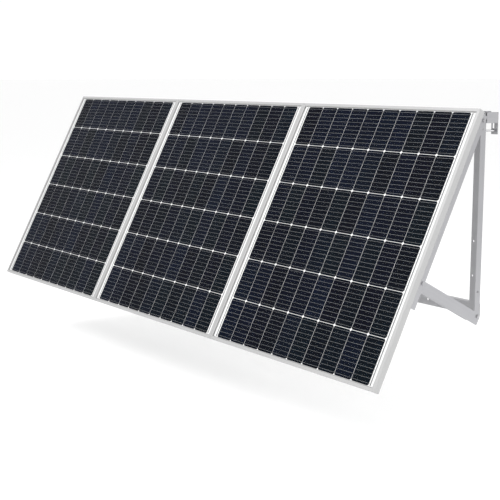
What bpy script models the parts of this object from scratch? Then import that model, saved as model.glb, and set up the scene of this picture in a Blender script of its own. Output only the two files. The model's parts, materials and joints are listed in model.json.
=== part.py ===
"""Bank of three framed solar modules on four folding hook-on brackets.

Metres, +Z up.  X runs along the row of modules, Y points back towards the railing.
The origin is the middle of the railing seat under the right-hand end bracket's hook.
Bracket pieces are laid out in u, y, z: u is the distance inwards from the side of the module,
y and z are measured from the hinge bolt.  Bank pieces are laid out in x, s, n: s is the distance
down the slope from the top edge, n the depth behind the front face.
"""
import math

import bmesh
import bpy
from mathutils import Vector

# cells and module
MODULES = 3
CELL_COLUMNS = 10
CELL_ROWS = 6
CELL_W = 0.091
CELL_H = 0.182
CELL_GAP = 0.002
SIDE_MARGIN = 0.040
END_MARGIN = 0.016
MODULE_GAP = 0.001
GAP = 0.0003
GLASS_T = 0.0032
CELL_T = 0.0004
BACKSHEET_T = 0.0008
LAMINATE_INSET = 0.003

# module frame
FRAME_T = 0.030
LIP_W = 0.012
LIP_T = 0.0016
WALL_T = 0.0018
FOOT_W = 0.028
BOX_W = 0.120
BOX_L = 0.080
BOX_CORNER = 0.010
BOX_T = 0.018
BOX_DROP = 0.120
GLAND_R = 0.006
GLAND_L = 0.014

# stand
TILT = math.radians(28.0)
PLATE_T = 0.003
SIDE_GAP = 0.0004
RAIL_LENGTH = 0.790
RAIL_START = 0.008
RAIL_DEPTH = 0.022
RAIL_FLANGE = 0.025
RAIL_NOTCH = 0.060
HINGE_DROP = 0.030
HINGE_BEHIND = 0.012
ARM_DROP = 0.665
LEG_DEPTH = 0.030
LEG_WIDTH = 0.028
LEG_FRONT = 0.008
LEG_TOP_R = 0.011
LEG_END = 0.014
LEG_HOLES = (-0.461, -0.596)
LEG_SIDE_HOLE = -0.660
LEG_FRONT_START = 0.025
LEG_REAR_START = 0.012
ARM_DOWN = 0.033
ARM_LIP = 0.012
ARM_TIP = 0.008
ARM_SHOULDER = 0.010
ARM_SLANT = 0.012
ARM_LIP_START = 0.014
ARM_LIP_END = 0.045
CORNER = 0.004
CROSS_H = 0.050
CROSS_FLANGE = 0.022
CROSS_UP = 0.012
CROSS_NOTCH = 0.020

# hook
SEAT_DROP = 0.010
SEAT_START = 0.024
SEAT_LENGTH = 0.053
HOOK_H = 0.037
HOOK_W = 0.028
HOOK_TAIL = 0.040
HOOK_SHOULDER = 0.010
HOOK_EYE = (0.0095, 0.006)
TAIL_BOLT_UP = 0.012
JAW = 0.063
CLAW_W = 0.0306
CLAW_BELOW = 0.044
CLAW_IN = 0.006
CLAW_OUT = 0.010
CLAW_BOLTS = (0.0125, 0.035)
SLOT_TOP = -0.012
SLOT_BELOW = 0.004
ROD_DROP = 0.040
ROD_TAIL = 0.024

# fasteners
BOLT_R = 0.004
HEAD_R = 0.0075
HEAD_H = 0.005
NUT_H = 0.006
CLEARANCE = 0.0004
FASTENER_U = 0.024

# How far cutters reach past a face, and the small offset that keeps joined faces out of one plane.
PAST = 0.002
STEP = 0.0002

# places that follow from the sizes above
MODULE_W = CELL_COLUMNS * CELL_W + (CELL_COLUMNS - 1) * CELL_GAP + 2 * SIDE_MARGIN
MODULE_H = CELL_ROWS * CELL_H + (CELL_ROWS - 1) * CELL_GAP + 2 * END_MARGIN
PITCH = MODULE_W + MODULE_GAP
GLASS_N = LIP_T + GAP
CELL_N = GLASS_N + GLASS_T + GAP
SHEET_N = CELL_N + CELL_T + GAP
SHELF_N = SHEET_N + BACKSHEET_T + GAP
RAIL_N = FRAME_T + GAP
HINGE_N = FRAME_T + HINGE_BEHIND
ARM_U = PLATE_T + SIDE_GAP
LEG_U = ARM_U + PLATE_T + SIDE_GAP
HOOK_U = LEG_U + PLATE_T + SIDE_GAP
LEG_BACK = LEG_DEPTH - LEG_FRONT
ARM_PIVOT_Y = LEG_DEPTH / 2 - LEG_FRONT
ARM_UP = 0.4 * LEG_DEPTH
SEAT_Y = SEAT_START + SEAT_LENGTH / 2
JAW_Y = LEG_BACK + JAW
HOOK_TOP = HOOK_H - SEAT_DROP
ARM_LENGTH = (ARM_PIVOT_Y + ARM_DROP * math.sin(TILT)) / math.cos(TILT)
ARM_PIVOT_Z = -ARM_DROP * math.cos(TILT) - ARM_LENGTH * math.sin(TILT)
LEG_BOTTOM = ARM_PIVOT_Z - LEG_END
HINGE_Y = -SEAT_Y
HINGE_Z = SEAT_DROP
RIGHT_SIDE = FASTENER_U
HOOK_BOLT_Z = TAIL_BOLT_UP - HOOK_TAIL


def make_material(name, colour, roughness, metallic):
    material = bpy.data.materials.new(name)
    material.use_nodes = True
    shader = material.node_tree.nodes["Principled BSDF"]
    shader.inputs["Base Color"].default_value = (*colour, 1.0)
    shader.inputs["Roughness"].default_value = roughness
    shader.inputs["Metallic"].default_value = metallic
    return material


def clear_scene():
    for obj in list(bpy.data.objects):
        bpy.data.objects.remove(obj, do_unlink=True)


def prism(outline, axis, low, high):
    """A closed extrusion of a 2-D outline along axis 0, 1 or 2."""
    def point(pair, along):
        values = list(pair)
        values.insert(axis, along)
        return Vector(values)
    count = len(outline)
    verts = [point(pair, low) for pair in outline] + [point(pair, high) for pair in outline]
    faces = [tuple(range(count)), tuple(range(count, 2 * count))]
    faces += [(i, (i + 1) % count, count + (i + 1) % count, count + i) for i in range(count)]
    return verts, faces


def block(x, y, z):
    """A box from three (low, high) pairs, given in either order."""
    (x0, x1), (y0, y1), (z0, z1) = sorted(x), sorted(y), sorted(z)
    return prism([(x0, y0), (x1, y0), (x1, y1), (x0, y1)], 2, z0, z1)


def chamfered(x0, x1, y0, y1, corner):
    """The eight-sided outline of a rectangle with its corners cut off."""
    return [(x0 + corner, y0), (x1 - corner, y0), (x1, y0 + corner), (x1, y1 - corner),
            (x1 - corner, y1), (x0 + corner, y1), (x0, y1 - corner), (x0, y0 + corner)]


def round_outline(centre, radius, sides):
    turn = 2 * math.pi / sides
    return [(centre[0] + radius * math.cos((i + 0.5) * turn), centre[1] + radius * math.sin((i + 0.5) * turn))
            for i in range(sides)]


def stepped_pin(centre, axis, steps, sides=6):
    """A round or hexagonal pin: steps are (position along the axis, radius), drawn as rings."""
    verts, faces = [], []
    for along, radius in steps:
        for pair in round_outline(centre, radius, sides):
            values = list(pair)
            values.insert(axis, along)
            verts.append(Vector(values))
    for ring in range(len(steps) - 1):
        for i in range(sides):
            a, b = ring * sides + i, ring * sides + (i + 1) % sides
            faces.append((a, b, b + sides, a + sides))
    faces.append(tuple(range(sides)))
    faces.append(tuple(range(len(verts) - sides, len(verts))))
    return verts, faces


def bolt(centre, axis, head, start, end, radius=BOLT_R, head_r=HEAD_R, head_h=HEAD_H, nut_h=NUT_H):
    """Head, shank and nut in one solid; head is -1 or +1 along the axis, start is under the head."""
    return stepped_pin(centre, axis, [
        (start - head_h * -head, head_r), (start, head_r), (start, radius),
        (end, radius), (end, head_r), (end - head * nut_h, head_r)])


def build_mesh(name, shell):
    mesh = bpy.data.meshes.new(name)
    work = bmesh.new()
    verts, faces = shell
    made = [work.verts.new(v) for v in verts]
    for face in faces:
        work.faces.new([made[i] for i in face])
    bmesh.ops.recalc_face_normals(work, faces=work.faces)
    work.to_mesh(mesh)
    work.free()
    return mesh


def add_piece(name, shell, material, parent, unions=(), cuts=()):
    """One named object; unions and cuts are lists of shells applied by exact Booleans."""
    obj = bpy.data.objects.new(name, build_mesh(name, shell))
    obj.data.materials.append(material)
    obj.parent = parent
    bpy.context.scene.collection.objects.link(obj)
    for operation, group in (("UNION", unions), ("DIFFERENCE", cuts)):
        for index, extra in enumerate(group):
            helper_name = f"{name}_{operation.lower()}_{index}"
            helper = bpy.data.objects.new(helper_name, build_mesh(helper_name, extra))
            helper.parent = parent
            helper.hide_render = True
            helper.display_type = "WIRE"
            bpy.context.scene.collection.objects.link(helper)
            modifier = obj.modifiers.new(helper_name, "BOOLEAN")
            modifier.operation = operation
            modifier.solver = "EXACT"
            modifier.object = helper
    return obj


def add_empty(name, location, lean=0.0):
    empty = bpy.data.objects.new(name, None)
    empty.location = location
    empty.rotation_euler = (-lean, 0.0, 0.0)
    bpy.context.scene.collection.objects.link(empty)
    return empty


def slope_z(s):
    """Height in the bank's own leaning axes of a point s below the top edge."""
    return HINGE_DROP - s


def depth_y(n):
    """Y in the bank's own leaning axes of a point n behind the front face."""
    return n - HINGE_N


def frame_member(side, left):
    """One mitred side of a module frame: lip, glass slot, outer wall and foot."""
    profile = [(0, 0), (LIP_W, 0), (LIP_W, LIP_T), (WALL_T, LIP_T), (WALL_T, SHELF_N),
               (LIP_W, SHELF_N), (LIP_W, SHELF_N + LIP_T), (WALL_T, SHELF_N + LIP_T),
               (WALL_T, FRAME_T - WALL_T), (FOOT_W, FRAME_T - WALL_T), (FOOT_W, FRAME_T), (0, FRAME_T)]
    length = MODULE_H if side in ("left", "right") else MODULE_W
    mitre = GAP * math.sqrt(0.5)
    verts = []
    for far in (False, True):
        for a, n in profile:
            p = length - a - mitre if far else a + mitre
            x, s = {"left": (left + a, p), "right": (left + MODULE_W - a, p),
                    "top": (left + p, a), "bottom": (left + p, MODULE_H - a)}[side]
            verts.append(Vector((x, depth_y(n), slope_z(s))))
    count = len(profile)
    faces = [tuple(range(count)), tuple(range(count, 2 * count))]
    faces += [(i, (i + 1) % count, count + (i + 1) % count, count + i) for i in range(count)]
    return verts, faces


def laminate_sheet(left, n, thickness):
    inset = LAMINATE_INSET
    return block((left + inset, left + MODULE_W - inset), (depth_y(n), depth_y(n + thickness)),
                 (slope_z(inset), slope_z(MODULE_H - inset)))


def cell_sheet(left):
    """The soldered cells as one laminated sheet, ending at the cells' outer edges."""
    return block((left + SIDE_MARGIN, left + MODULE_W - SIDE_MARGIN),
                 (depth_y(CELL_N), depth_y(CELL_N + CELL_T)),
                 (slope_z(END_MARGIN), slope_z(MODULE_H - END_MARGIN)))


def junction_box(left):
    """Diode box near the top of the back, and its two cable glands."""
    x, z = left + MODULE_W / 2, slope_z(BOX_DROP)
    near, far = depth_y(SHELF_N), depth_y(SHELF_N + BOX_T)
    outline = chamfered(x - BOX_W / 2, x + BOX_W / 2, z - BOX_L / 2, z + BOX_L / 2, BOX_CORNER)
    glands = []
    for way in (-1, 1):
        outline_yz = round_outline(((near + far) / 2, z), GLAND_R, 8)
        ends = sorted((x + way * (BOX_W / 2 - BOX_CORNER / 2), x + way * (BOX_W / 2 + GLAND_L)))
        glands.append(prism(outline_yz, 0, *ends))
    return prism(outline, 1, near, far), glands


def build_module(name, left, bank, mats):
    add_piece(f"{name}_glass", laminate_sheet(left, GLASS_N, GLASS_T), mats["glass"], bank)
    add_piece(f"{name}_cells", cell_sheet(left), mats["cell"], bank)
    add_piece(f"{name}_backsheet", laminate_sheet(left, SHEET_N, BACKSHEET_T), mats["backsheet"], bank)
    for side in ("top", "bottom", "left", "right"):
        add_piece(f"{name}_frame_{side}", frame_member(side, left), mats["frame"], bank)
    box, glands = junction_box(left)
    add_piece(f"{name}_junction_box", box, mats["box"], bank, unions=glands)


class Bracket:
    """Where a bracket stands: the module side it is flush with, and which way is inwards."""

    def __init__(self, name, side_x, hand, seam):
        self.name = name
        self.side_x = side_x
        self.hand = hand
        self.seam = seam

    def x(self, u):
        return self.side_x - self.hand * u

    def span(self, u0, u1):
        return self.x(u0), self.x(u1)


def cross_hole(bracket, centre, u0, u1, radius=BOLT_R + CLEARANCE, sides=8):
    """A round hole along X through a plate between u0 and u1."""
    low, high = sorted(bracket.span(u0 - PAST, u1 + PAST))
    return prism(round_outline(centre, radius, sides), 0, low, high)


def build_rail(bracket, bank, mats):
    """Rail behind the frame's side: an L at the ends of the row, a T behind a seam."""
    back = RAIL_N + RAIL_DEPTH
    outer = -(RAIL_FLANGE + MODULE_GAP)
    profile = [(0, RAIL_N), (RAIL_FLANGE, RAIL_N), (RAIL_FLANGE, RAIL_N + PLATE_T),
               (PLATE_T, RAIL_N + PLATE_T), (PLATE_T, back), (0, back)]
    if bracket.seam:
        profile = [(outer, RAIL_N)] + profile[1:] + [(0, RAIL_N + PLATE_T), (outer, RAIL_N + PLATE_T)]
    outline = [(bracket.x(u), depth_y(n)) for u, n in profile]
    shell = prism(outline, 2, slope_z(RAIL_START + RAIL_LENGTH), slope_z(RAIL_START))
    notch_n = (depth_y(RAIL_N - PAST), depth_y(RAIL_N + PLATE_T + STEP))
    notch_s = (slope_z(RAIL_NOTCH), slope_z(0))
    cuts = [block(bracket.span(PLATE_T + STEP, RAIL_FLANGE + PAST), notch_n, notch_s),
            cross_hole(bracket, (0, 0), 0, PLATE_T)]
    if bracket.seam:
        cuts.append(block(bracket.span(outer - PAST, -STEP), notch_n, notch_s))
    stud = cross_bolt(bracket, (0, -ARM_DROP), GAP, ARM_U + PLATE_T + GAP)
    add_piece(f"{bracket.name}_rail", shell, mats["rail"], bank, unions=[stud], cuts=cuts)


def build_leg(bracket, stand, mats):
    """Upright channel with its open side inwards; the flanges stop short of the hinge."""
    u0, u1 = LEG_U, LEG_U + LEG_WIDTH
    y0, y1, t = -LEG_FRONT, LEG_BACK, PLATE_T
    profile = [(u0, y0), (u1, y0), (u1, y0 + t), (u0 + t, y0 + t),
               (u0 + t, y1 - t), (u1, y1 - t), (u1, y1), (u0, y1)]
    outline = [(bracket.x(u), y) for u, y in profile]
    shell = prism(outline, 2, LEG_BOTTOM, LEG_TOP_R)
    start = math.acos(LEG_FRONT / LEG_TOP_R)
    arc = [(-LEG_TOP_R * math.cos(a), LEG_TOP_R * math.sin(a))
           for a in (start + (math.pi / 2 - start) * i / 4 for i in range(5))]
    beyond = 2 * LEG_DEPTH
    crown = [(-beyond, beyond), (-beyond, arc[0][1])] + arc + [(0.0, beyond)]
    low, high = sorted(bracket.span(u0 - PAST, u0 + t + PAST))
    flange_u = bracket.span(u0 + t, u1 + PAST)
    cuts = [prism(crown, 0, low, high),
            block(flange_u, (y0 - PAST, y0 + t + PAST), (-LEG_FRONT_START, beyond)),
            block(flange_u, (y1 - t - PAST, y1 + PAST), (-LEG_REAR_START, beyond)),
            cross_hole(bracket, (0, 0), u0, u0 + t)]
    for z in (HOOK_BOLT_Z, LEG_SIDE_HOLE, ARM_PIVOT_Z):
        cuts.append(cross_hole(bracket, (ARM_PIVOT_Y, z), u0, u0 + t))
    for z, face in [(z, y0) for z in LEG_HOLES] + [(-ROD_DROP, y1 - t)]:
        outline = round_outline((bracket.x(FASTENER_U), z), BOLT_R + CLEARANCE, 8)
        cuts.append(prism(outline, 1, face - PAST, face + t + PAST))
    add_piece(f"{bracket.name}_leg", shell, mats["leg"], stand, cuts=cuts)


def build_arm(bracket, index, mats):
    """Lower arm, pivoted on the leg; its tip rests over the rail's bolt in an open notch."""
    axis = add_empty(f"arm_axis_{index}", (0.0, HINGE_Y + ARM_PIVOT_Y, HINGE_Z + ARM_PIVOT_Z), TILT)
    tip = -ARM_LENGTH
    bore = BOLT_R + CLEARANCE
    rear = ARM_UP
    outline = [(rear, ARM_UP - CORNER), (rear - CORNER, ARM_UP), (tip - ARM_TIP, ARM_UP),
               (tip - ARM_TIP, bore), (tip + bore, bore), (tip + bore, -ARM_SHOULDER), (tip + ARM_SLANT, -ARM_DOWN),
               (rear - CORNER, -ARM_DOWN), (rear, CORNER - ARM_DOWN)]
    low, high = sorted(bracket.span(ARM_U, ARM_U + PLATE_T))
    lip = block(bracket.span(ARM_U + PLATE_T / 2, ARM_U + PLATE_T + ARM_LIP),
                (tip + ARM_LIP_START, -ARM_LIP_END), (STEP - ARM_DOWN, PLATE_T - ARM_DOWN))
    add_piece(f"{bracket.name}_arm", prism(outline, 0, low, high), mats["arm"], axis, unions=[lip],
              cuts=[cross_hole(bracket, (0, 0), ARM_U, ARM_U + PLATE_T)])


def build_hook(bracket, index, stand, mats):
    """Fixed hook channel with the railing seat below it, and the claw that slides on it."""
    end = SEAT_START + SEAT_LENGTH
    slot_x = bracket.x(FASTENER_U)
    half = BOLT_R + CLEARANCE
    front, back = CORNER - LEG_FRONT, LEG_BACK - PLATE_T - GAP
    web = [(front, -HOOK_TAIL), (back, -HOOK_TAIL), (back, STEP - SEAT_DROP), (end - STEP, STEP - SEAT_DROP),
           (end - STEP, HOOK_TOP - STEP), (LEG_BACK, HOOK_TOP - STEP), (HOOK_SHOULDER, HOOK_SHOULDER),
           (0.0, HOOK_EYE[0]), (front, HOOK_EYE[1])]
    low, high = sorted(bracket.span(HOOK_U, HOOK_U + PLATE_T))
    flange_u = bracket.span(HOOK_U + PLATE_T / 2, HOOK_U + HOOK_W)
    flange_y = (SEAT_START, end)
    lower = block(flange_u, flange_y, (-SEAT_DROP, PLATE_T - SEAT_DROP))
    upper = block(flange_u, flange_y, (HOOK_TOP - PLATE_T, HOOK_TOP))
    first, last = SEAT_START + CLAW_BOLTS[0], SEAT_START + CLAW_BOLTS[1]
    slot = block((slot_x - half, slot_x + half), (first - CLAW_IN - half, last + CLAW_OUT + half),
                 (HOOK_TOP - PLATE_T - PAST, HOOK_TOP + PAST))
    cuts = [cross_hole(bracket, (0, 0), HOOK_U, HOOK_U + PLATE_T),
            cross_hole(bracket, (ARM_PIVOT_Y, HOOK_BOLT_Z), HOOK_U, HOOK_U + PLATE_T), slot]
    add_piece(f"{bracket.name}_hook_bracket", prism(web, 0, low, high), mats["hook"], stand,
              unions=[lower, upper], cuts=cuts)

    claw_axis = add_empty(f"claw_slide_{index}", (0.0, HINGE_Y, HINGE_Z))
    top = HOOK_TOP + SIDE_GAP
    claw_u = bracket.span(ARM_U, ARM_U + CLAW_W)
    claw_end = SEAT_DROP + CLAW_BELOW
    plate = block(claw_u, (JAW_Y, JAW_Y + PLATE_T), (-claw_end, top + PLATE_T + 2 * STEP))
    side = block(bracket.span(ARM_U + STEP, ARM_U + PLATE_T), (LEG_BACK, JAW_Y + PLATE_T / 2),
                 (-SEAT_DROP, top + PLATE_T / 2))
    roof = block(bracket.span(ARM_U + PLATE_T / 2, ARM_U + CLAW_W - 2 * STEP),
                 (SEAT_START + CLAW_IN, JAW_Y + PLATE_T / 2), (top, top + PLATE_T))
    rod_slot = block((slot_x - half, slot_x + half), (JAW_Y - PAST, JAW_Y + PLATE_T + PAST),
                     (-ROD_DROP - half - SLOT_BELOW, SLOT_TOP))
    studs = [bolt((slot_x, y), 2, 1, top + PLATE_T - GAP, HOOK_TOP - PLATE_T - GAP) for y in (first, last)]
    add_piece(f"{bracket.name}_hook_claw", plate, mats["claw"], claw_axis, unions=[side, roof] + studs,
              cuts=[rod_slot])


def clamp_rod(bracket):
    """Long screw from inside the leg, through the claw's slot."""
    back = LEG_BACK - PLATE_T - GAP
    return stepped_pin((bracket.x(FASTENER_U), -ROD_DROP), 1, [
        (back - NUT_H, HEAD_R), (back, HEAD_R), (back, BOLT_R), (JAW_Y + ROD_TAIL, BOLT_R)])


def cross_bolt(bracket, centre, under_head, to_nut, **sizes):
    """A bolt along X whose head is on the outside of the bracket."""
    return bolt(centre, 0, bracket.hand, bracket.x(under_head), bracket.x(to_nut), **sizes)


def build_cross_rail(brackets, stand, mats):
    """Long angle behind the legs that ties the bracket feet together."""
    y0, z0 = LEG_BACK + GAP, LEG_BOTTOM + CROSS_UP
    z1 = z0 + CROSS_H
    y1, y2 = y0 + PLATE_T, y0 + PLATE_T + CROSS_FLANGE
    outline = [(y0, z0), (y1, z0), (y1, z1 - PLATE_T), (y2, z1 - PLATE_T), (y2, z1), (y0, z1)]
    ends = sorted((brackets[0].x(LEG_U), brackets[-1].x(LEG_U)))
    depth, height = (y1 + STEP, y2 + PAST), (z1 - PLATE_T - PAST, z1 + PAST)
    notches = [block(end.span(LEG_U - PAST, LEG_U + CROSS_NOTCH), depth, height)
               for end in (brackets[0], brackets[-1])]
    add_piece("cross_rail", prism(outline, 0, *ends), mats["rail"], stand, cuts=notches)


def build_fasteners(bracket, stand, mats):
    hinge = cross_bolt(bracket, (0, 0), -GAP, HOOK_U + PLATE_T + GAP)
    add_piece(f"{bracket.name}_hinge_bolt", hinge, mats["bolt"], stand)
    pivot = cross_bolt(bracket, (ARM_PIVOT_Y, ARM_PIVOT_Z), ARM_U - GAP, LEG_U + PLATE_T + GAP)
    add_piece(f"{bracket.name}_arm_bolt", pivot, mats["bolt"], stand)
    add_piece(f"{bracket.name}_clamp_rod", clamp_rod(bracket), mats["bolt"], stand)


def main():
    clear_scene()
    mats = {
        "glass": make_material("solar_glass", (0.75, 0.78, 0.80), 0.08, 0.0),
        "cell": make_material("silicon_cell", (0.012, 0.014, 0.024), 0.30, 0.2),
        "backsheet": make_material("white_backsheet", (0.85, 0.85, 0.84), 0.55, 0.0),
        "frame": make_material("anodised_frame", (0.78, 0.78, 0.77), 0.38, 0.8),
        "box": make_material("black_box", (0.03, 0.03, 0.03), 0.55, 0.0),
        "rail": make_material("rail_aluminium", (0.70, 0.70, 0.71), 0.40, 0.8),
        "leg": make_material("leg_aluminium", (0.66, 0.66, 0.68), 0.42, 0.8),
        "arm": make_material("arm_aluminium", (0.66, 0.66, 0.68), 0.42, 0.8),
        "hook": make_material("hook_aluminium", (0.66, 0.66, 0.68), 0.42, 0.8),
        "claw": make_material("claw_aluminium", (0.64, 0.64, 0.66), 0.42, 0.8),
        "bolt": make_material("stainless_bolt", (0.55, 0.55, 0.56), 0.30, 0.95),
    }
    bank = add_empty("bank_axis", (0.0, HINGE_Y, HINGE_Z), TILT)
    stand = add_empty("stand", (0.0, HINGE_Y, HINGE_Z))

    lefts = [RIGHT_SIDE - MODULE_W - (MODULES - 1 - i) * PITCH for i in range(MODULES)]
    brackets = [Bracket("left_end", lefts[0], -1, False)]
    for i, left in enumerate(lefts):
        last = i == MODULES - 1
        brackets.append(Bracket("right_end" if last else f"seam_{i + 1}", left + MODULE_W, 1, not last))

    for i, left in enumerate(lefts):
        build_module(f"module_{i + 1}", left, bank, mats)
    for index, bracket in enumerate(brackets):
        build_rail(bracket, bank, mats)
        build_leg(bracket, stand, mats)
        build_arm(bracket, index, mats)
        build_hook(bracket, index, stand, mats)
        build_fasteners(bracket, stand, mats)
    build_cross_rail(brackets, stand, mats)


main()
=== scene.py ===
import math

import bmesh
import bpy
from mathutils import Matrix, Vector
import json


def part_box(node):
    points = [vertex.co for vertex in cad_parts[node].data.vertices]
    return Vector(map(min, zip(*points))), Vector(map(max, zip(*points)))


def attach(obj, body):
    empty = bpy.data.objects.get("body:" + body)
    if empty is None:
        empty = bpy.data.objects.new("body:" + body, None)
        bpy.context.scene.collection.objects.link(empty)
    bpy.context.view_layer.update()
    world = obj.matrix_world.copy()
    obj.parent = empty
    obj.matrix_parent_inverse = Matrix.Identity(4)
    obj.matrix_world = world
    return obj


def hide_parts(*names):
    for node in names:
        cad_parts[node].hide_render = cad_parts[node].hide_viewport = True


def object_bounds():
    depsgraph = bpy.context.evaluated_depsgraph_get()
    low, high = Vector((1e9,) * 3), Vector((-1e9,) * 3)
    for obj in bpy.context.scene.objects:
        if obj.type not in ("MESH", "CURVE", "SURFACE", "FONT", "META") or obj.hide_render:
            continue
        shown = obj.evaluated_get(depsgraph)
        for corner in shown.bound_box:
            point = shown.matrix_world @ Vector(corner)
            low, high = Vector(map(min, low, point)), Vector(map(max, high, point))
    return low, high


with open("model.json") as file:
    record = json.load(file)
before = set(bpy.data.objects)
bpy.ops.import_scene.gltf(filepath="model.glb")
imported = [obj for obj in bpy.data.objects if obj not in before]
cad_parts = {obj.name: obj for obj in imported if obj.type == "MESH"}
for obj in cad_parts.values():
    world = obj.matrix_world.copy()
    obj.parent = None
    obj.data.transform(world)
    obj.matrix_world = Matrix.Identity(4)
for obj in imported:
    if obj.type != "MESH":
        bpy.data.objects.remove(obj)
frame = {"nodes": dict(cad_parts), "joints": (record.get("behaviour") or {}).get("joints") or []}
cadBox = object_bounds()  # the size of the CAD model, before any piece is added
print("frame loaded:", len(frame["nodes"]), "nodes")

nodes = frame["nodes"]
mm = 0.001
lean = math.radians(28.0)  # the bank leans back this far at rest, as in the CAD
tiltJoint = next(j for j in frame["joints"] if j["name"] == "tilt")
hinge = Vector(tiltJoint["pos_m"])
bankMatrix = Matrix.Translation(hinge) @ Matrix.Rotation(-lean, 4, "X")  # bank axes to the object's axes
moduleNames = ("module_1", "module_2", "module_3")
bracketNames = ("left_end", "seam_1", "seam_2", "right_end")


# low and high corners of a node, measured in the bank's own leaning axes
def bankBox(nodeName):
    inverse = bankMatrix.inverted()
    points = [inverse @ v.co for v in nodes[nodeName].data.vertices]
    low = Vector([min(p[k] for p in points) for k in range(3)])
    high = Vector([max(p[k] for p in points) for k in range(3)])
    return low, high


def meshObject(name, verts, faces, matrix=None):
    mesh = bpy.data.meshes.new(name)
    work = bmesh.new()
    made = [work.verts.new(v) for v in verts]
    for face in faces:
        work.faces.new([made[i] for i in face])
    bmesh.ops.recalc_face_normals(work, faces=work.faces)
    if matrix is not None:
        bmesh.ops.transform(work, matrix=matrix, verts=work.verts)
    work.to_mesh(mesh)
    work.free()
    obj = bpy.data.objects.new(name, mesh)
    bpy.context.scene.collection.objects.link(obj)
    return obj


# adds a closed extrusion of a 2-D outline along axis 0, 1 or 2 to the lists
def addPrism(verts, faces, outline, axis, low, high):
    start, count = len(verts), len(outline)
    for along in (low, high):
        for pair in outline:
            values = list(pair)
            values.insert(axis, along)
            verts.append(Vector(values))
    faces.append([start + i for i in range(count)])
    faces.append([start + count + i for i in range(count)])
    for i in range(count):
        j = (i + 1) % count
        faces.append([start + i, start + j, start + count + j, start + count + i])


# adds a turned solid; a ring is its place on the axis, its radius and how hexagonal it is, from 0 to 1
def addRings(verts, faces, centre, axis, rings, sides):
    start = len(verts)
    for along, radius, hexed in rings:
        for i in range(sides):
            angle = 2 * math.pi * i / sides
            flat = math.cos(math.pi / 6) / math.cos(angle % (math.pi / 3) - math.pi / 6)
            reach = radius * (1 - hexed + hexed * flat)
            values = [centre[0] + reach * math.cos(angle), centre[1] + reach * math.sin(angle)]
            values.insert(axis, along)
            verts.append(Vector(values))
    for ring in range(len(rings) - 1):
        for i in range(sides):
            a, b = start + ring * sides + i, start + ring * sides + (i + 1) % sides
            faces.append([a, b, b + sides, a + sides])
    faces.append([start + i for i in range(sides)])
    faces.append([len(verts) - sides + i for i in range(sides)])


edgePlan = {"frame": 0.35 * mm, "bracket": 0.4 * mm, "segments": 2, "sharpAngle": 35.0,
            "joinDistance": 0.01 * mm, "flatAngle": 1.0}


# small rounded edges; triangles in one plane are joined first, so that the rounding is clean
def roundEdges(obj, width):
    join = obj.modifiers.new("join", "WELD")
    join.merge_threshold = edgePlan["joinDistance"]
    plane = obj.modifiers.new("plane", "DECIMATE")
    plane.decimate_type = "DISSOLVE"
    plane.angle_limit = math.radians(edgePlan["flatAngle"])
    bevel = obj.modifiers.new("edges", "BEVEL")
    bevel.width = width
    bevel.segments = edgePlan["segments"]
    bevel.limit_method = "ANGLE"
    bevel.angle_limit = math.radians(edgePlan["sharpAngle"])
    bevel.harden_normals = False


def smoothRound(obj):
    obj.data.shade_smooth()
    obj.data.set_sharp_from_angle(angle=math.radians(edgePlan["sharpAngle"]))


def newMaterial(name):
    material = bpy.data.materials.new(name)
    material.use_nodes = True
    tree = material.node_tree
    return material, tree, tree.nodes["Principled BSDF"]


# object coordinates, turned with the piece and stretched along its grain
def coordinates(tree, scale, rotation=(0.0, 0.0, 0.0)):
    place = tree.nodes.new("ShaderNodeTexCoord")
    turn = tree.nodes.new("ShaderNodeMapping")
    turn.vector_type = "POINT"
    turn.inputs["Rotation"].default_value = rotation
    stretch = tree.nodes.new("ShaderNodeMapping")
    stretch.inputs["Scale"].default_value = scale
    tree.links.new(place.outputs["Object"], turn.inputs["Vector"])
    tree.links.new(turn.outputs["Vector"], stretch.inputs["Vector"])
    return stretch.outputs["Vector"]


def noise(tree, vector, scale, detail=3.0, roughness=0.55):
    texture = tree.nodes.new("ShaderNodeTexNoise")
    texture.inputs["Scale"].default_value = scale
    texture.inputs["Detail"].default_value = detail
    texture.inputs["Roughness"].default_value = roughness
    tree.links.new(vector, texture.inputs["Vector"])
    return texture.outputs["Fac"]


def ramp(tree, value, stops):
    node = tree.nodes.new("ShaderNodeValToRGB")
    elements = node.color_ramp.elements
    while len(elements) < len(stops):
        elements.new(0.5)
    for element, (position, colour) in zip(elements, stops):
        element.position = position
        element.color = (*colour, 1.0)
    tree.links.new(value, node.inputs["Fac"])
    return node.outputs["Color"]


# dark up to start, light from end on
def twoTone(tree, value, dark, light, start=0.30, end=0.70):
    return ramp(tree, value, [(start, dark), (end, light)])


def remap(tree, value, low, high):
    node = tree.nodes.new("ShaderNodeMapRange")
    node.inputs["To Min"].default_value = low
    node.inputs["To Max"].default_value = high
    tree.links.new(value, node.inputs["Value"])
    return node.outputs["Result"]


def bump(tree, shader, height, strength, distance):
    node = tree.nodes.new("ShaderNodeBump")
    node.inputs["Strength"].default_value = strength
    node.inputs["Distance"].default_value = distance
    tree.links.new(height, node.inputs["Height"])
    tree.links.new(node.outputs["Normal"], shader.inputs["Normal"])


def mixColour(tree, factor, a, b, mode="MIX"):
    node = tree.nodes.new("ShaderNodeMix")
    node.data_type = "RGBA"
    node.blend_type = mode
    for socket, value in ((node.inputs["Factor"], factor), (node.inputs[6], a), (node.inputs[7], b)):
        if hasattr(value, "links"):
            tree.links.new(value, socket)
        elif isinstance(value, tuple):
            socket.default_value = (*value, 1.0)
        else:
            socket.default_value = value
    return node.outputs[2]


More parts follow.
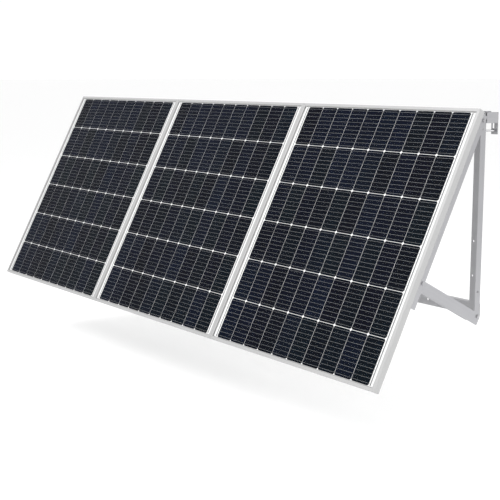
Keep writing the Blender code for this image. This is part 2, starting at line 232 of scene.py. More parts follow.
wear = {"toneEnd": 0.72, "cloudStart": 0.35, "cloudDark": 0.93, "cloudShare": 0.45,
        "scuffStretch": (9.0, 9.0, 9.0), "scuffScale": 11.0, "scuffStart": 0.66, "scuffEnd": 0.72,
        "scuffLight": 1.10, "smoother": 0.06, "rougher": 0.10, "grainDepth": 0.4 * mm}
plain = (1.0, 1.0, 1.0)  # a texture that isn't stretched
black, white = (0.0, 0.0, 0.0), (1.0, 1.0, 1.0)


# extruded aluminium: drawn grain along one axis, cloudy oxide, small bright scuffs
def metal(name, look, grain, rotation=(0.0, 0.0, 0.0)):
    material, tree, shader = newMaterial(name)
    fine = [look["grainAcross"]] * 3
    fine[grain] = look["grainAlong"]
    drawn = noise(tree, coordinates(tree, fine, rotation), 1.0, 4.0, 0.6)
    cloud = noise(tree, coordinates(tree, plain, rotation), look["cloud"], 4.0)
    light, dark = look["light"], look["dark"]
    tone = twoTone(tree, drawn, dark, light, end=wear["toneEnd"])
    dull = tuple(c * wear["cloudDark"] for c in light)
    cloudy = twoTone(tree, cloud, dull, light, start=wear["cloudStart"])
    colour = mixColour(tree, wear["cloudShare"], tone, cloudy)
    scuff = noise(tree, coordinates(tree, wear["scuffStretch"], rotation), wear["scuffScale"], 6.0, 0.7)
    marks = twoTone(tree, scuff, black, white, wear["scuffStart"], wear["scuffEnd"])
    bright = tuple(min(1.0, c * wear["scuffLight"]) for c in light)
    worn = mixColour(tree, marks, colour, bright)
    tree.links.new(worn, shader.inputs["Base Color"])
    rough = remap(tree, drawn, look["rough"] - wear["smoother"], look["rough"] + wear["rougher"])
    tree.links.new(rough, shader.inputs["Roughness"])
    shader.inputs["Metallic"].default_value = look["metallic"]
    bump(tree, shader, drawn, look["bump"], wear["grainDepth"])
    return material


anodised = {"light": (0.40, 0.40, 0.40), "dark": (0.335, 0.335, 0.337), "grainAcross": 900.0,
            "grainAlong": 6.0, "cloud": 5.0, "rough": 0.42, "metallic": 0.30, "bump": 0.10}
millFinish = {"light": (0.42, 0.42, 0.435), "dark": (0.34, 0.34, 0.355), "grainAcross": 700.0,
              "grainAlong": 4.0, "cloud": 7.0, "rough": 0.36, "metallic": 0.92, "bump": 0.16}
clawFinish = {"light": (0.44, 0.44, 0.455), "dark": (0.35, 0.35, 0.365), "grainAcross": 700.0,
              "grainAlong": 9.0, "cloud": 12.0, "rough": 0.38, "metallic": 0.9, "bump": 0.16}
steelFinish = {"light": (0.48, 0.48, 0.49), "dark": (0.34, 0.34, 0.35), "grainAcross": 1400.0,
               "grainAlong": 500.0, "cloud": 60.0, "rough": 0.28, "metallic": 0.95, "bump": 0.08}
leanTurn = (lean, 0.0, 0.0)  # turns object coordinates back to the bank's own axes
frameAcrossMetal = metal("anodisedAcross", anodised, 0, leanTurn)
frameUpMetal = metal("anodisedUp", anodised, 2, leanTurn)
railMetal = metal("railMill", millFinish, 2, leanTurn)
legMetal = metal("legMill", millFinish, 2)
armMetal = metal("armMill", millFinish, 1, leanTurn)
crossMetal = metal("crossMill", millFinish, 0)
hookMetal = metal("hookMill", millFinish, 1)
clawMetal = metal("clawMill", clawFinish, 1)
steel = metal("stainless", steelFinish, 0)

cellLook = {"dark": (0.0016, 0.0019, 0.0048), "blue": (0.0024, 0.0044, 0.0120),
            "green": (0.0020, 0.0044, 0.0070), "cloudScale": 9.0, "cloudShare": 0.55, "fingerScale": 4200.0,
            "fingerStretch": (0.31, 0.31, 0.31), "fingerTone": (1.35, 1.35, 1.35),
            "fingerStart": 0.80, "fingerEnd": 0.97, "roughLow": 0.29, "roughHigh": 0.42, "specular": 0.02}


# cells: near black with a tint of its own for each, crystal clouding and fine printed fingers
def siliconMaterial():
    material, tree, shader = newMaterial("silicon")
    geometry = tree.nodes.new("ShaderNodeNewGeometry")
    island = geometry.outputs["Random Per Island"]
    tint = ramp(tree, island, [(0.0, cellLook["dark"]), (0.45, cellLook["blue"]), (0.75, cellLook["green"]),
                               (1.0, cellLook["dark"])])
    cloud = noise(tree, coordinates(tree, plain, leanTurn), cellLook["cloudScale"], 3.0)
    clouded = mixColour(tree, remap(tree, cloud, 0.0, cellLook["cloudShare"]), tint, cellLook["dark"])
    wave = tree.nodes.new("ShaderNodeTexWave")
    wave.bands_direction = "X"
    wave.inputs["Scale"].default_value = cellLook["fingerScale"] / (2 * math.pi)
    wave.inputs["Distortion"].default_value = 0.0
    tree.links.new(coordinates(tree, cellLook["fingerStretch"], leanTurn), wave.inputs["Vector"])
    fingers = twoTone(tree, wave.outputs["Fac"], white, cellLook["fingerTone"], cellLook["fingerStart"],
                      cellLook["fingerEnd"])
    printed = mixColour(tree, 1.0, clouded, fingers, "MULTIPLY")
    tree.links.new(printed, shader.inputs["Base Color"])
    rough = remap(tree, cloud, cellLook["roughLow"], cellLook["roughHigh"])
    tree.links.new(rough, shader.inputs["Roughness"])
    shader.inputs["Specular IOR Level"].default_value = cellLook["specular"]
    return material


filmLook = {"dusty": (0.70, 0.70, 0.695), "clean": (0.745, 0.745, 0.742), "dustScale": 14.0, "dustEnd": 0.62,
            "roughLow": 0.45, "roughHigh": 0.62, "grainScale": 900.0, "grain": 0.12, "grainDepth": 0.2 * mm}


# white laminated film with a little dust and a fine grain
def sheetMaterial():
    material, tree, shader = newMaterial("whiteFilm")
    dust = noise(tree, coordinates(tree, plain, leanTurn), filmLook["dustScale"], 5.0)
    tone = twoTone(tree, dust, filmLook["dusty"], filmLook["clean"], end=filmLook["dustEnd"])
    tree.links.new(tone, shader.inputs["Base Color"])
    tree.links.new(remap(tree, dust, filmLook["roughLow"], filmLook["roughHigh"]), shader.inputs["Roughness"])
    grainy = noise(tree, coordinates(tree, plain, leanTurn), filmLook["grainScale"], 2.0)
    bump(tree, shader, grainy, filmLook["grain"], filmLook["grainDepth"])
    return material


glassLook = {"thin": (0.70, 0.74, 0.76), "thick": (0.80, 0.83, 0.84), "filmScale": 6.0,
             "filmStretch": (1.0, 1.0, 0.4), "filmLow": 0.0005, "filmHigh": 0.002, "roughLow": 0.06,
             "roughHigh": 0.16}


# clear front glass: nearly all transparent, with a thin uneven film of dust and a soft gloss
def glassMaterial():
    material, tree, shader = newMaterial("frontGlass")
    film = noise(tree, coordinates(tree, glassLook["filmStretch"], leanTurn), glassLook["filmScale"], 5.0)
    tone = twoTone(tree, film, glassLook["thin"], glassLook["thick"])
    tree.links.new(tone, shader.inputs["Base Color"])
    tree.links.new(remap(tree, film, glassLook["filmLow"], glassLook["filmHigh"]), shader.inputs["Alpha"])
    rough = remap(tree, film, glassLook["roughLow"], glassLook["roughHigh"])
    tree.links.new(rough, shader.inputs["Roughness"])
    material.surface_render_method = "BLENDED"
    return material


ribbonLook = {"dark": (0.105, 0.11, 0.115), "light": (0.155, 0.16, 0.165), "stretch": (4.0, 300.0, 300.0),
              "roughLow": 0.35, "roughHigh": 0.55, "metallic": 0.2}


# tinned copper with long streaks
def ribbonMaterial():
    material, tree, shader = newMaterial("tinnedRibbon")
    streak = noise(tree, coordinates(tree, ribbonLook["stretch"], leanTurn), 1.0, 3.0)
    tone = twoTone(tree, streak, ribbonLook["dark"], ribbonLook["light"])
    tree.links.new(tone, shader.inputs["Base Color"])
    rough = remap(tree, streak, ribbonLook["roughLow"], ribbonLook["roughHigh"])
    tree.links.new(rough, shader.inputs["Roughness"])
    shader.inputs["Metallic"].default_value = ribbonLook["metallic"]
    return material


boxLook = {"dark": (0.018, 0.018, 0.019), "light": (0.034, 0.034, 0.035), "rough": 0.5, "grainScale": 700.0}
# grey of the sealing bead; this grey also stands in for painted shade where the glass meets the frame's lip
sealShadeLook = {"dark": (0.20, 0.20, 0.20), "light": (0.30, 0.30, 0.30), "rough": 0.6, "grainScale": 300.0}
plasticGrain = {"smoother": 0.08, "rougher": 0.10, "bump": 0.25, "depth": 0.3 * mm}


# moulded plastic or rubber with a fine spark-eroded grain
def plasticMaterial(name, look):
    material, tree, shader = newMaterial(name)
    spark = noise(tree, coordinates(tree, plain), look["grainScale"], 4.0)
    tone = twoTone(tree, spark, look["dark"], look["light"])
    tree.links.new(tone, shader.inputs["Base Color"])
    smooth, coarse = look["rough"] - plasticGrain["smoother"], look["rough"] + plasticGrain["rougher"]
    rough = remap(tree, spark, smooth, coarse)
    tree.links.new(rough, shader.inputs["Roughness"])
    bump(tree, shader, spark, plasticGrain["bump"], plasticGrain["depth"])
    return material


silicon = siliconMaterial()
whiteFilm = sheetMaterial()
frontGlass = glassMaterial()
ribbonMetal = ribbonMaterial()
boxPlastic = plasticMaterial("boxPlastic", boxLook)
# grey bead rubber, which is also painted shade at the lip's inner edge
sealShadeRubber = plasticMaterial("sealantPaintedShade", sealShadeLook)
print("materials made")


# gives a CAD node its finish, and fine rounded edges
def dress(nodeName, material, edge=None):
    obj = nodes[nodeName]
    obj.data.materials.clear()
    obj.data.materials.append(material)
    if edge:
        roundEdges(obj, edge)


cellPlan = {"columns": 10, "rows": 6, "columnGap": 1.9 * mm, "rowGap": 2.2 * mm, "corner": 5.5 * mm}
ribbonPlan = {"perCell": 10, "width": 1.0 * mm, "thick": 0.10 * mm, "lift": 0.01 * mm, "overhang": 5.0 * mm}


def cellSizes(low, high):
    columns, rows = cellPlan["columns"], cellPlan["rows"]
    width = (high.x - low.x - (columns - 1) * cellPlan["columnGap"]) / columns
    height = (high.z - low.z - (rows - 1) * cellPlan["rowGap"]) / rows
    return width, height


# sixty thin plates with cut corners, standing in the place of the cell sheet
def makeCells(module):
    low, high = bankBox(f"{module}_cells")
    width, height = cellSizes(low, high)
    cut = cellPlan["corner"]
    verts, faces = [], []
    for column in range(cellPlan["columns"]):
        for row in range(cellPlan["rows"]):
            x0 = low.x + column * (width + cellPlan["columnGap"])
            z0 = low.z + row * (height + cellPlan["rowGap"])
            x1, z1 = x0 + width, z0 + height
            outline = [(x0 + cut, z0), (x1 - cut, z0), (x1, z0 + cut), (x1, z1 - cut),
                       (x1 - cut, z1), (x0 + cut, z1), (x0, z1 - cut), (x0, z0 + cut)]
            addPrism(verts, faces, outline, 1, low.y, high.y)
    cells = meshObject(f"{module}_cellPlates", verts, faces, bankMatrix)
    cells.data.materials.append(silicon)
    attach(cells, "bank")
    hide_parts(f"{module}_cells")


# flat solder ribbons along each row, on the face of the cells
def makeRibbons(module):
    low, high = bankBox(f"{module}_cells")
    _, height = cellSizes(low, high)
    pitch = height / ribbonPlan["perCell"]
    half, reach = ribbonPlan["width"] / 2, ribbonPlan["overhang"]
    verts, faces = [], []
    for row in range(cellPlan["rows"]):
        base = low.z + row * (height + cellPlan["rowGap"])
        for line in range(ribbonPlan["perCell"]):
            z = base + (line + 0.5) * pitch
            front, back = low.y - ribbonPlan["thick"], low.y - ribbonPlan["lift"]
            outline = [(front, z - half), (back, z - half), (back, z + half), (front, z + half)]
            addPrism(verts, faces, outline, 0, low.x - reach, high.x + reach)
    ribbons = meshObject(f"{module}_ribbons", verts, faces, bankMatrix)
    ribbons.data.materials.append(ribbonMetal)
    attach(ribbons, "bank")


# the seal sizes shape the grey bead that also paints the shade line at the lip's inner edge
marginPlan = {"busWidth": 4.0 * mm, "busFrom": 7.0 * mm, "busFront": 0.2 * mm, "busBack": 0.05 * mm,
              "busShort": 2.0 * mm, "lipWide": 12.0 * mm, "lipThick": 1.6 * mm, "sealShadeWidth": 2.2 * mm,
              "sealShadeUnder": 0.1 * mm, "sealShadeCrown": 0.2 * mm, "sealShadeLift": 0.02 * mm, "sealShadeShoulder": 0.4}


# collector strips beside the outer cells
def makeCollectors(module):
    low, high = bankBox(f"{module}_cells")
    start, width = marginPlan["busFrom"], marginPlan["busWidth"]
    verts, faces = [], []
    for x0 in (low.x - start - width, high.x + start):
        front, back = low.y - marginPlan["busFront"], low.y - marginPlan["busBack"]
        outline = [(x0, front), (x0 + width, front), (x0 + width, back), (x0, back)]
        addPrism(verts, faces, outline, 2, low.z + marginPlan["busShort"], high.z - marginPlan["busShort"])
    strips = meshObject(f"{module}_collectors", verts, faces, bankMatrix)
    strips.data.materials.append(ribbonMetal)
    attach(strips, "bank")


# sealing bead between the glass and the frame's lip: grey rubber that is partly real sealant and partly a
# painted shade line at the lip's inner edge
def makeSealShadeBead(module):
    left, right = bankBox(f"{module}_frame_left"), bankBox(f"{module}_frame_right")
    glassFront = bankBox(f"{module}_glass")[0].y
    lipWide, shoulder = marginPlan["lipWide"], marginPlan["sealShadeShoulder"]
    x0, x1 = left[0].x + lipWide, right[1].x - lipWide
    z0, z1 = left[0].z + lipWide, left[1].z - lipWide
    front, back = left[0].y + marginPlan["lipThick"] * shoulder, glassFront - marginPlan["sealShadeLift"]
    under, width = -marginPlan["sealShadeUnder"], marginPlan["sealShadeWidth"]
    verts, faces, loops = [], [], []
    for inset, depth in ((under, back), (under, front), (width * shoulder, front + marginPlan["sealShadeCrown"]),
                         (width, back)):
        loop = []
        for x, z in ((x0 + inset, z0 + inset), (x1 - inset, z0 + inset), (x1 - inset, z1 - inset),
                     (x0 + inset, z1 - inset)):
            verts.append(Vector((x, depth, z)))
            loop.append(len(verts) - 1)
        loops.append(loop)
    for k in range(4):
        ring, after = loops[k], loops[(k + 1) % 4]
        for i in range(4):
            faces.append([ring[i], ring[(i + 1) % 4], after[(i + 1) % 4], after[i]])
    bead = meshObject(f"{module}_sealShadeBead", verts, faces, bankMatrix)
    bead.data.materials.append(sealShadeRubber)
    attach(bead, "bank")


boxPlan = {"glandReach": 14.0 * mm, "corner": 9.0 * mm, "lidCorner": 5.0 * mm, "lidInset": 5.0 * mm,
           "lidRise": 3.0 * mm, "lidPlate": 1.0 * mm, "seamInset": 1.2 * mm, "seamGap": 0.6 * mm,
           "ribs": 7, "ribRoot": 0.8 * mm, "ribTip": 0.5 * mm, "screw": 3.2 * mm, "screwPlace": 2.2,
           "screwSides": 12, "glandSides": 24}
# rings of a gland: distance from the box's side in mm, radius in mm, how hexagonal
glandRings = ((0.0, 6.6, 1), (3.0, 6.6, 1), (3.2, 5.2, 0), (4.4, 5.2, 0), (4.6, 6.4, 0.8), (9.5, 6.4, 0.8),
              (12.5, 4.8, 0), (13.8, 4.0, 0), (13.8, 2.6, 0), (8.0, 2.4, 0))
# rings of a lid screw: height over the lid in mm, share of the screw's radius, how hexagonal
screwRings = ((1.9, 1.0, 0), (2.6, 1.0, 0), (2.9, 0.7, 0), (2.9, 0.45, 1), (2.2, 0.45, 1))


def roundedOutline(x0, x1, z0, z1, radius, steps=4):
    points = []
    for cx, cz, start in ((x1 - radius, z1 - radius, 0), (x0 + radius, z1 - radius, 90),
                          (x0 + radius, z0 + radius, 180), (x1 - radius, z0 + radius, 270)):
        for i in range(steps + 1):
            angle = math.radians(start + 90 * i / steps)
            points.append((cx + radius * math.cos(angle), cz + radius * math.sin(angle)))
    return points


# one layer of the box; sides are its outer x and z limits
def addLayer(verts, faces, sides, inset, corner, low, high):
    x0, x1, z0, z1 = sides
    outline = roundedOutline(x0 + inset, x1 - inset, z0 + inset, z1 - inset, corner)
    addPrism(verts, faces, outline, 1, low, high)


# moulded box: base, raised lid with ribs and corner screws, and two glands with domed nuts
def makeJunctionBox(module):
    low, high = bankBox(f"{module}_junction_box")
    reach, corner = boxPlan["glandReach"], boxPlan["corner"]
    x0, x1, z0, z1 = low.x + reach, high.x - reach, low.z, high.z
    sides = (x0, x1, z0, z1)
    lidY = high.y - boxPlan["lidRise"]
    plate, inset, edge = boxPlan["lidPlate"], boxPlan["seamInset"], boxPlan["lidInset"]
    seamTop = lidY - plate + boxPlan["seamGap"]
    verts, faces = [], []
    lid = lidY + 2 * plate
    addLayer(verts, faces, sides, 0.0, corner, low.y, lidY - plate)
    addLayer(verts, faces, sides, inset, corner - inset, lidY - plate, seamTop)
    addLayer(verts, faces, sides, 0.0, corner, seamTop, lidY + plate)
    addLayer(verts, faces, sides, edge, boxPlan["lidCorner"], lidY + plate, lid)
    span, last = z1 - z0 - 6 * edge, boxPlan["ribs"] - 1
    root, tip = boxPlan["ribRoot"], boxPlan["ribTip"]
    for i in range(boxPlan["ribs"]):
        z = z0 + 3 * edge + span * i / last
        outline = [(lid, z - root), (high.y, z - tip), (high.y, z + tip), (lid, z + root)]
        addPrism(verts, faces, outline, 0, x0 + 4 * edge, x1 - 4 * edge)
    place, radius = boxPlan["screwPlace"] * edge, boxPlan["screw"]
    for sx in (x0 + place, x1 - place):
        for sz in (z0 + place, z1 - place):
            rings = [(lidY + up * mm, radius * share, hexed) for up, share, hexed in screwRings]
            addRings(verts, faces, (sx, sz), 1, rings, boxPlan["screwSides"])
    centre = ((low.y + high.y) / 2, (low.z + high.z) / 2)
    for side, edgeX in ((-1, x0), (1, x1)):
        rings = [(edgeX + side * out * mm, r * mm, hexed) for out, r, hexed in glandRings]
        addRings(verts, faces, centre, 0, rings, boxPlan["glandSides"])
    box = meshObject(f"{module}_boxMoulding", verts, faces, bankMatrix)
    box.data.materials.append(boxPlastic)
    smoothRound(box)
    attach(box, "bank")
    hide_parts(f"{module}_junction_box")


for module in moduleNames:
    makeCells(module)
    makeRibbons(module)
    makeCollectors(module)
    makeSealShadeBead(module)
    makeJunctionBox(module)
    dress(f"{module}_glass", frontGlass)
    dress(f"{module}_backsheet", whiteFilm)
    for side in ("top", "bottom"):
        dress(f"{module}_frame_{side}", frameAcrossMetal, edgePlan["frame"])
    for side in ("left", "right"):
        dress(f"{module}_frame_{side}", frameUpMetal, edgePlan["frame"])
print("modules made")

boltPlan = {"head": 7.2 * mm, "washer": 8.8 * mm, "washerThick": 1.2 * mm, "shank": 3.9 * mm, "sides": 24,
            "crown": 0.1 * mm, "chamfer": 0.7 * mm, "nutChamfer": 1.6 * mm, "nutCrown": 1.2 * mm,
            "threadEnd": 1.4 * mm, "threadTip": 2.0 * mm, "crownShare": 0.80, "chamferShare": 0.88,
            "nutShare": 0.84, "tipShare": 0.75}


# rings of a hexagon bolt: chamfered head, washer, shank, washer, nut and the thread's end
def boltRings(headEnd, underHead, nutFace, nutEnd, size):
    way = 1.0 if headEnd > underHead else -1.0
    head, washer, shank = (boltPlan[k] * size for k in ("head", "washer", "shank"))
    thick = way * boltPlan["washerThick"] * size
    crown = head * boltPlan["crownShare"]
    return [(headEnd, crown, 0), (headEnd - way * boltPlan["crown"], head * boltPlan["chamferShare"], 0),
            (headEnd - way * boltPlan["chamfer"] * size, head, 1), (underHead + thick, head, 1),
            (underHead + thick, washer, 0), (underHead, washer, 0), (underHead, shank, 0),
            (nutFace, shank, 0), (nutFace, washer, 0), (nutFace - thick, washer, 0),
            (nutFace - thick, head, 1), (nutEnd + way * boltPlan["nutChamfer"] * size, head, 1),
            (nutEnd + way * boltPlan["nutCrown"] * size, head * boltPlan["nutShare"], 0), (nutEnd, crown, 0),
            (nutEnd, shank, 0), (nutEnd - way * boltPlan["threadEnd"] * size, shank, 0),
            (nutEnd - way * boltPlan["threadTip"] * size, shank * boltPlan["tipShare"], 0)]


# spots are the places of the head's end, its underside, the nut's face and the nut's end
def addBolt(verts, faces, centre, axis, spots, size=1.0):
    addRings(verts, faces, centre, axis, boltRings(*spots, size), boltPlan["sides"])


def finishBolt(name, verts, faces, body, replaced=None, matrix=None):
    piece = meshObject(name, verts, faces, matrix)
    piece.data.materials.append(steel)
    smoothRound(piece)
    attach(piece, body)
    if replaced:
        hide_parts(replaced)


pivotPlan = {"headThick": 5.0 * mm, "nutThick": 6.0 * mm}


# takes the place of the plain hinge or arm bolt, between the same faces
def makePivotBolt(bracket, kind, hand):
    low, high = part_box(f"{bracket}_{kind}")
    centre = ((low[1] + high[1]) / 2, (low[2] + high[2]) / 2)
    headEnd, nutEnd = (high[0], low[0]) if hand > 0 else (low[0], high[0])
    verts, faces = [], []
    spots = (headEnd, headEnd - hand * pivotPlan["headThick"], nutEnd + hand * pivotPlan["nutThick"], nutEnd)
    addBolt(verts, faces, centre, 0, spots)
    finishBolt(f"{bracket}_{kind}Steel", verts, faces, "stand", f"{bracket}_{kind}")


threadPlan = {"pitch": 1.6 * mm, "depth": 0.55 * mm, "sides": 12, "radius": 4.0 * mm, "headThick": 6.0 * mm,
              "neck": 5.0 * mm, "neckShare": 0.9, "spare": 7.0 * mm}


# hexagon-headed clamp screw with a real helical thread along its whole reach
def makeClampRod(bracket):
    low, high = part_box(f"{bracket}_clamp_rod")
    cx, cz = (low[0] + high[0]) / 2, (low[2] + high[2]) / 2
    verts, faces = [], []
    head, full = boltPlan["head"], threadPlan["radius"]
    neck, thin = low[1] + threadPlan["headThick"], threadPlan["radius"] * threadPlan["neckShare"]
    first = neck + threadPlan["neck"]
    rings = [(low[1], head * boltPlan["crownShare"], 0), (low[1] + boltPlan["chamfer"], head, 1),
             (neck, head, 1), (neck, thin, 0), (first, thin, 0)]
    addRings(verts, faces, (cx, cz), 1, rings, boltPlan["sides"])
    sides, pitch = threadPlan["sides"], threadPlan["pitch"]
    turns = int((high[1] - neck - threadPlan["spare"]) / pitch)
    start = len(verts)
    rows = turns * 2 + 1
    for row in range(rows):
        crest = row % 2
        for i in range(sides):
            angle = 2 * math.pi * i / sides
            along = first + (row / 2 + i / sides) * pitch
            radius = full - (0 if crest else threadPlan["depth"])
            verts.append(Vector((cx + radius * math.cos(angle), along, cz + radius * math.sin(angle))))
    for row in range(rows - 2):
        for i in range(sides):
            a, b = start + row * sides + i, start + row * sides + (i + 1) % sides
            if i == sides - 1:  # the last side joins the turn that follows
                faces.append([a, b + 2 * sides, b + 3 * sides, a + sides] if row < rows - 3
                             else [a, b + 2 * sides, a + sides])
            else:
                faces.append([a, b, b + sides, a + sides])
    finishBolt(f"{bracket}_clampScrew", verts, faces, "stand", f"{bracket}_clamp_rod")


clampNutPlan = {"gap": 0.05 * mm, "bore": 4.1 * mm, "share": 0.85, "chamfer": 0.6 * mm, "thick": 6.0 * mm}


# nut and washer on the claw's rear face, round the clamp screw
def makeClampNut(bracket):
    rodLow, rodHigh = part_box(f"{bracket}_clamp_rod")
    centre = ((rodLow[0] + rodHigh[0]) / 2, (rodLow[2] + rodHigh[2]) / 2)
    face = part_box(f"{bracket}_hook_claw")[1][1] + clampNutPlan["gap"]
    verts, faces = [], []
    head, washer, bore = boltPlan["head"], boltPlan["washer"], clampNutPlan["bore"]
    under, crown, bite = face + boltPlan["washerThick"], head * clampNutPlan["share"], clampNutPlan["chamfer"]
    end = under + clampNutPlan["thick"]
    rings = [(face, bore, 0), (face, washer, 0), (under, washer, 0), (under, crown, 0),
             (under + bite, head, 1), (end - bite, head, 1), (end, crown, 0), (end, bore, 0)]
    sides = boltPlan["sides"]
    addRings(verts, faces, centre, 1, rings, sides)
    del faces[-2:]  # open ended, so that the screw passes through
    last = (len(rings) - 1) * sides
    for i in range(sides):
        j = (i + 1) % sides
        faces.append([i, j, last + j, last + i])
    finishBolt(f"{bracket}_clampNut", verts, faces, f"{bracket}_claw")


standPlan = {"tailUp": 12.0 * mm, "tailHead": 4.6 * mm, "tailGrip": 6.4 * mm, "tailEnd": 12.0 * mm,
             "crossPlate": 3.3 * mm, "crossHead": 5.0 * mm, "crossGrip": 3.0 * mm, "crossEnd": 9.0 * mm}


# bolt that holds the hook's tail in the leg, and the one that holds the cross rail
def makeStandBolts(bracket, hand):
    legLow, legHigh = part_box(f"{bracket}_leg")
    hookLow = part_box(f"{bracket}_hook_bracket")[0]
    pivotLow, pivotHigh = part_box(f"{bracket}_arm_bolt")
    crossLow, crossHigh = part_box("cross_rail")
    rodLow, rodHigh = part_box(f"{bracket}_clamp_rod")
    outer = legHigh[0] if hand > 0 else legLow[0]
    verts, faces = [], []
    tail = ((pivotLow[1] + pivotHigh[1]) / 2, hookLow[2] + standPlan["tailUp"])
    spots = (outer + hand * standPlan["tailHead"], outer, outer - hand * standPlan["tailGrip"],
             outer - hand * standPlan["tailEnd"])
    addBolt(verts, faces, tail, 0, spots)
    spot = ((rodLow[0] + rodHigh[0]) / 2, (crossLow[2] + crossHigh[2]) / 2)
    back = legHigh[1]
    rear = back + standPlan["crossPlate"]
    spots = (rear + standPlan["crossHead"], rear, back - standPlan["crossGrip"], back - standPlan["crossEnd"])
    addBolt(verts, faces, spot, 1, spots)
    finishBolt(f"{bracket}_standBolts", verts, faces, "stand")


# boltsAt are the distances down from the top of the frame
modulePlan = {"boltsAt": (0.125, 0.400, 0.640), "inboard": 15.0 * mm, "seamGap": 1.0 * mm,
              "footPlate": 1.8 * mm, "flangePlate": 3.3 * mm, "headThick": 4.2 * mm,
              "nutThick": 4.8 * mm, "size": 0.8}


# bolts through the frame's foot and the rail's flange, on each side of the rail's web
def makeModuleBolts(bracket, hand, sides):
    frameHigh = bankBox("module_1_frame_left")[1]
    foot, flange = frameHigh.y - modulePlan["footPlate"], frameHigh.y + modulePlan["flangePlate"]
    spots = (flange + modulePlan["headThick"], flange, foot, foot - modulePlan["nutThick"])
    verts, faces = [], []
    for inboard in sides:
        for down in modulePlan["boltsAt"]:
            place = (railSideX[bracket] - hand * inboard, frameHigh.z - down)
            addBolt(verts, faces, place, 1, spots, modulePlan["size"])
    finishBolt(f"{bracket}_moduleBolts", verts, faces, "bank", matrix=bankMatrix)


# 1 where the bolt heads face the right-hand end
hands = {"left_end": -1, "seam_1": 1, "seam_2": 1, "right_end": 1}
# outer side of the frame member that each rail is bolted to
railSideX = {"left_end": bankBox("module_1_frame_left")[0].x,
             "seam_1": bankBox("module_1_frame_right")[1].x,
             "seam_2": bankBox("module_2_frame_right")[1].x,
             "right_end": bankBox("module_3_frame_right")[1].x}

for bracket in bracketNames:
    hand = hands[bracket]
    makePivotBolt(bracket, "hinge_bolt", hand)
    makePivotBolt(bracket, "arm_bolt", hand)
    makeClampRod(bracket)
    makeClampNut(bracket)
    makeStandBolts(bracket, hand)
    sides = [modulePlan["inboard"]]
    if bracket.startswith("seam"):
        sides.append(-modulePlan["inboard"] - modulePlan["seamGap"])
    makeModuleBolts(bracket, hand, sides)
    for part, finish in (("rail", railMetal), ("leg", legMetal), ("arm", armMetal),
                         ("hook_bracket", hookMetal), ("hook_claw", clawMetal)):
        dress(f"{bracket}_{part}", finish, edgePlan["bracket"])
print("brackets made")

crossPlan = {"pitch": 60.0 * mm, "holeRadius": 4.5 * mm, "holeSides": 12, "plate": 3.0 * mm,
             "notch": 20.0 * mm, "overlap": 0.1 * mm}


# one length of the punched plate, with its hole; middle is the height of the holes
def addPunchedCell(verts, faces, x0, x1, plate, middle):
    y0, y1, z0, z1 = plate
    sides, radius, half = crossPlan["holeSides"], crossPlan["holeRadius"], (x1 - x0) / 2
    start, tiny = len(verts), 1e-6
    for y in (y0, y1):
        turns = [(math.cos(2 * math.pi * i / sides), math.sin(2 * math.pi * i / sides)) for i in range(sides)]
        for across, up in turns:
            verts.append(Vector((x0 + half + radius * across, y, middle + radius * up)))
        for across, up in turns:
            rise = z1 - middle if up > 0 else middle - z0
            reach = min(half / max(abs(across), tiny), rise / max(abs(up), tiny))
            verts.append(Vector((x0 + half + reach * across, y, middle + reach * up)))
        for x, z in ((x1, z1), (x0, z1), (x0, z0), (x1, z0)):
            verts.append(Vector((x, y, z)))
    layerSize = 2 * sides + 4
    for layer in (start, start + layerSize):
        for i in range(sides):
            j = (i + 1) % sides
            a, b = verts[layer + sides + i], verts[layer + sides + j]
            extra = []
            if abs(a.x - b.x) > tiny and abs(a.z - b.z) > tiny:  # the outer line turns a corner here
                near = min(range(4), key=lambda k: (verts[layer + 2 * sides + k] - (a + b) / 2).length)
                extra = [layer + 2 * sides + near]
            faces.append([layer + i, layer + sides + i] + extra + [layer + sides + j, layer + j])
    for i in range(sides):
        j = (i + 1) % sides
        faces.append([start + i, start + j, start + layerSize + j, start + layerSize + i])


# long angle with a row of punched holes in its front face; the flange stops short of both ends
def makeCrossRail():
    low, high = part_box("cross_rail")
    thick, notch = crossPlan["plate"], crossPlan["notch"]
    y0, y1, z0, z1 = low[1], low[1] + thick, low[2], high[2]
    count = int((high[0] - low[0]) // crossPlan["pitch"])
    pitch = (high[0] - low[0]) / count
    verts, faces = [], []
    for cell in range(count):
        x0 = low[0] + cell * pitch
        addPunchedCell(verts, faces, x0, x0 + pitch, (y0, y1, z0, z1), (z0 + z1 - thick) / 2)
    base = len(verts)
    for x in (low[0], high[0]):
        for y, z in ((y0, z0), (y1, z0), (y1, z1), (y0, z1)):
            verts.append(Vector((x, y, z)))
    faces += [[base, base + 1, base + 2, base + 3], [base + 4, base + 5, base + 6, base + 7],
              [base, base + 1, base + 5, base + 4], [base + 3, base + 2, base + 6, base + 7]]
    front = y1 - crossPlan["overlap"]
    flange = [(front, z1 - thick), (high[1], z1 - thick), (high[1], z1), (front, z1)]
    addPrism(verts, faces, flange, 0, low[0] + notch, high[0] - notch)
    rail = meshObject("crossRailPunched", verts, faces)
    rail.data.materials.append(crossMetal)
    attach(rail, "stand")
    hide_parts("cross_rail")


makeCrossRail()
print("cross rail made")

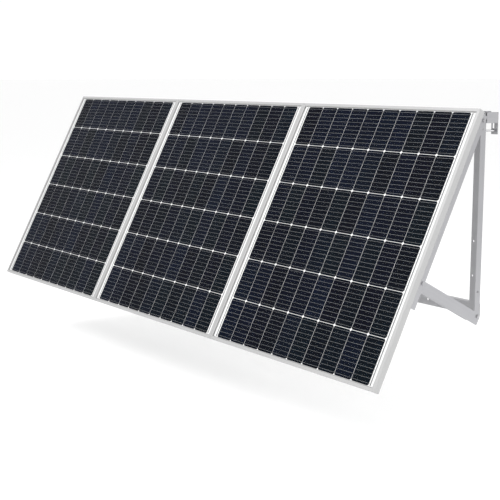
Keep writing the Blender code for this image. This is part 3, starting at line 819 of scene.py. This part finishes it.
studio = {"floorDrop": 0.35, "floorSize": 400.0, "floorColour": (0.95, 0.95, 0.95), "floorRough": 0.9,
          "world": 1.03, "camera": (2.6548, -3.2167, 0.1772), "yaw": 52.091, "pitch": 9.331, "lens": 76.32,
          "filmWidth": 36.0}
# each light: place, the point it faces, its diameter in metres and its power in watts
lights = {"keyLight": ((-2.5, -5.0, 4.0), (-1.5, 0.0, -0.5), 3.0, 250.0),
          "sideLight": ((5.0, -0.5, 1.5), (-0.5, 0.0, -0.5), 2.5, 150.0)}


def makeFloor():
    floorZ, size = cadBox[0][2] - studio["floorDrop"], studio["floorSize"]
    verts = [Vector((x, y, floorZ)) for x, y in ((-size, -size), (size, -size), (size, size), (-size, size))]
    floor = meshObject("floor", verts, [(0, 1, 2, 3)])
    material, _, shader = newMaterial("paleFloor")
    shader.inputs["Base Color"].default_value = (*studio["floorColour"], 1.0)
    shader.inputs["Roughness"].default_value = studio["floorRough"]
    floor.data.materials.append(material)


def addLight(name, location, target, size, power):
    data = bpy.data.lights.new(name, "AREA")
    data.shape = "DISK"
    data.size = size
    data.energy = power
    light = bpy.data.objects.new(name, data)
    light.location = location
    light.rotation_euler = (Vector(target) - Vector(location)).to_track_quat("-Z", "Y").to_euler()
    bpy.context.scene.collection.objects.link(light)


def makeStudio():
    world = bpy.data.worlds.new("studioWorld")
    bpy.context.scene.world = world
    world.use_nodes = True
    background = world.node_tree.nodes["Background"]
    background.inputs["Color"].default_value = (1.0, 1.0, 1.0, 1.0)
    background.inputs["Strength"].default_value = studio["world"]
    for name, setting in lights.items():
        addLight(name, *setting)
    data = bpy.data.cameras.new("camera")
    data.lens = studio["lens"]
    data.sensor_width = studio["filmWidth"]
    camera = bpy.data.objects.new("camera", data)
    camera.location = studio["camera"]
    camera.rotation_euler = (math.radians(90 - studio["pitch"]), 0.0, math.radians(studio["yaw"]))
    bpy.context.scene.collection.objects.link(camera)
    bpy.context.scene.camera = camera
    bpy.context.scene.view_settings.view_transform = "Standard"


makeFloor()
makeStudio()
print("studio made")
